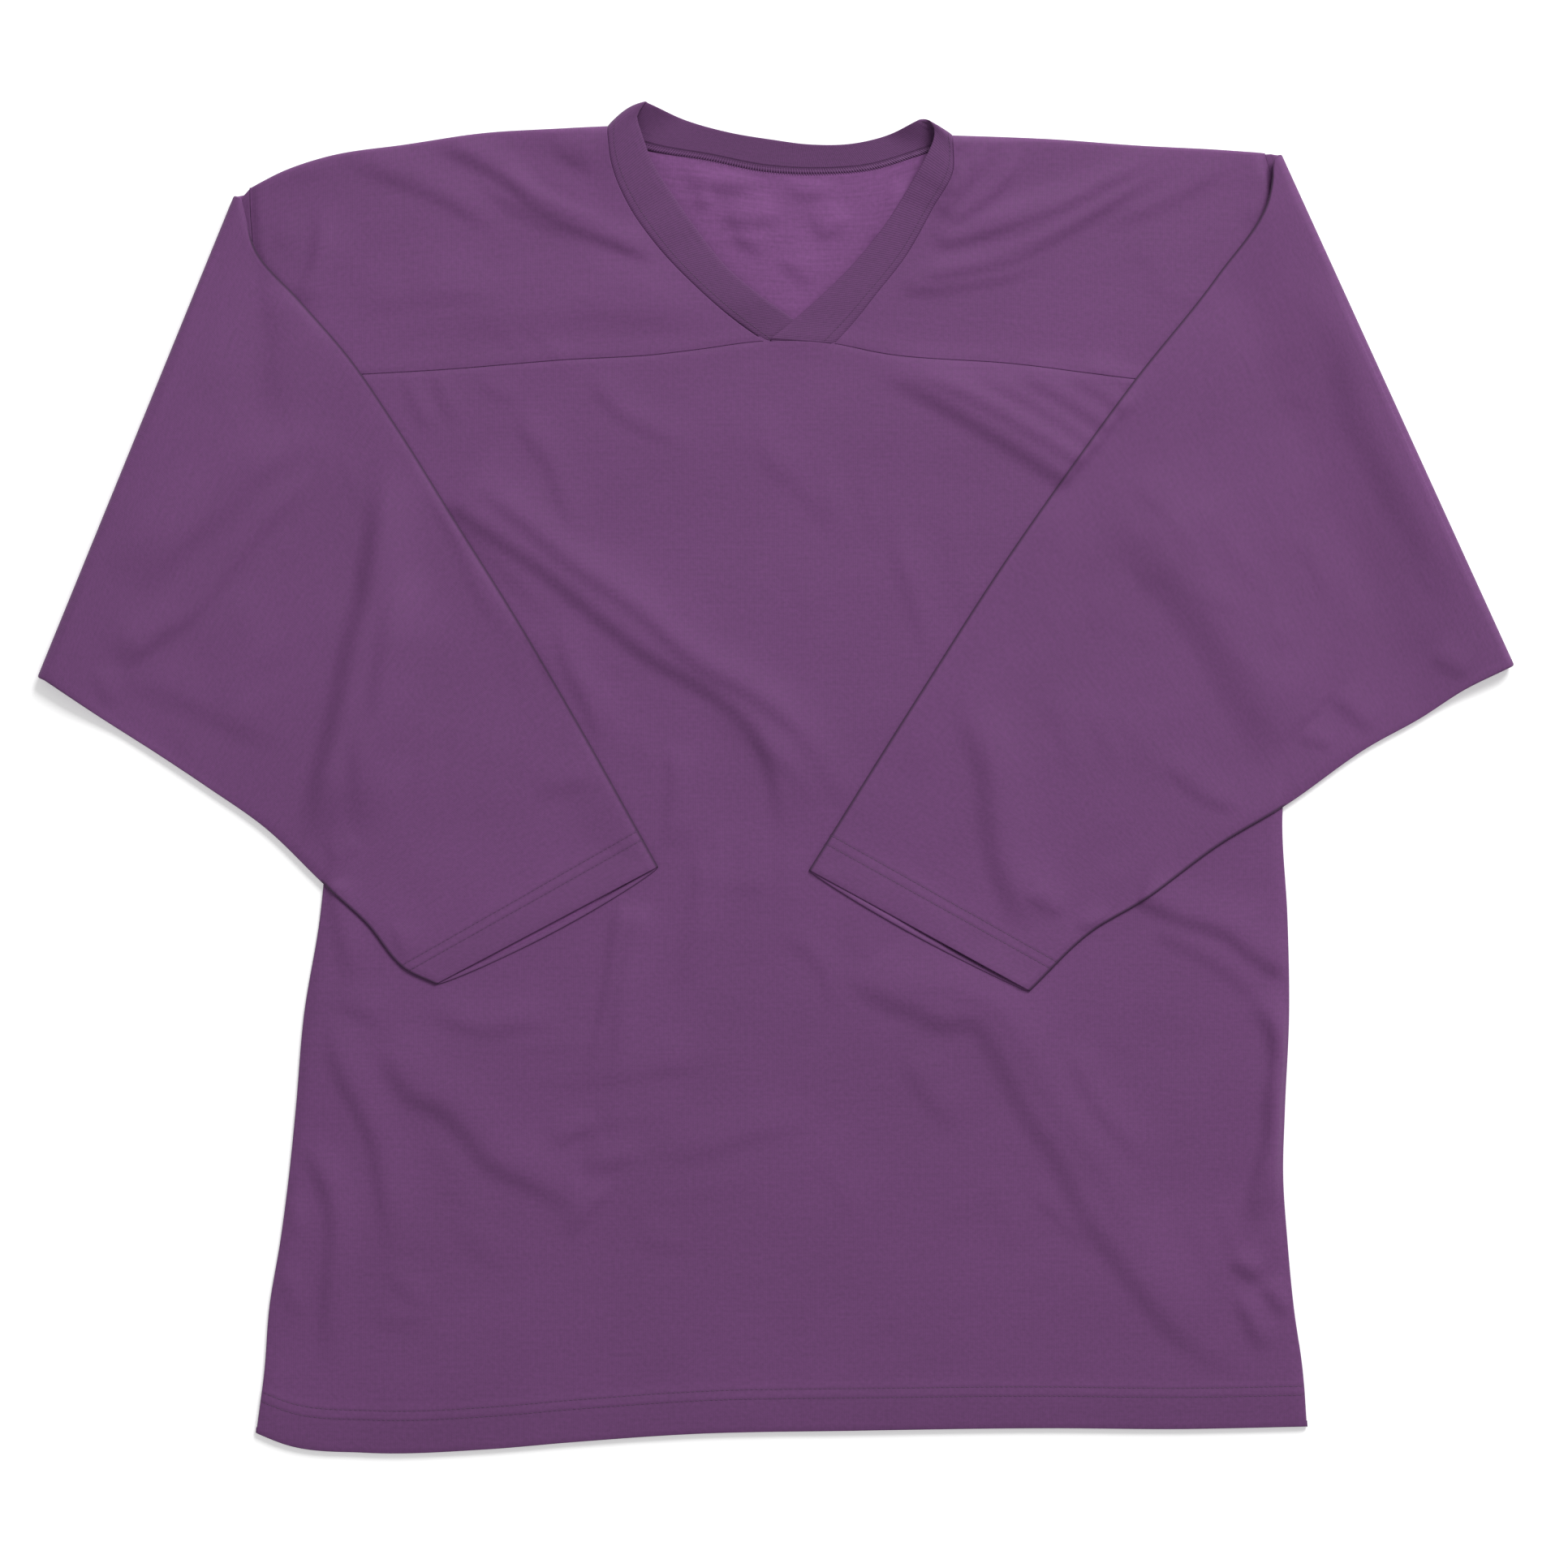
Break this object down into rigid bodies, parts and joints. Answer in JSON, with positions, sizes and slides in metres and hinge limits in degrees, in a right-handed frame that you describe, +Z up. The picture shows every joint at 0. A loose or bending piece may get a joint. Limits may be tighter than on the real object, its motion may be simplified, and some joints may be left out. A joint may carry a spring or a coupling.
{
  "type": "hockey jersey",
  "caption": "Practice hockey jersey with a V neck, shoulder yoke and wide short sleeves, laid flat on its back with both sleeves folded over the front.",
  "frame": {"origin": "centre of the jersey's outline on the surface it lies on", "axes": "+X to the viewer's right across the body, +Y from the hem to the neck, +Z up off the surface"},
  "size_m": [0.872, 0.7986, 0.0108],
  "materials": {
    "back_panel": "matt purple polyester knit",
    "front_panel": "matt purple polyester knit",
    "yoke": "matt purple polyester knit",
    "sleeve_left": "matt purple polyester knit",
    "sleeve_right": "matt purple polyester knit",
    "neckband": "rib knit, a little darker than the body"
  },
  "bodies": {
    "root": {"back_panel": "back_panel", "front_panel": "front_panel", "yoke": "yoke", "sleeve_left": "sleeve_left", "sleeve_right": "sleeve_right", "neckband": "neckband"}
  },
  "joints": []
}
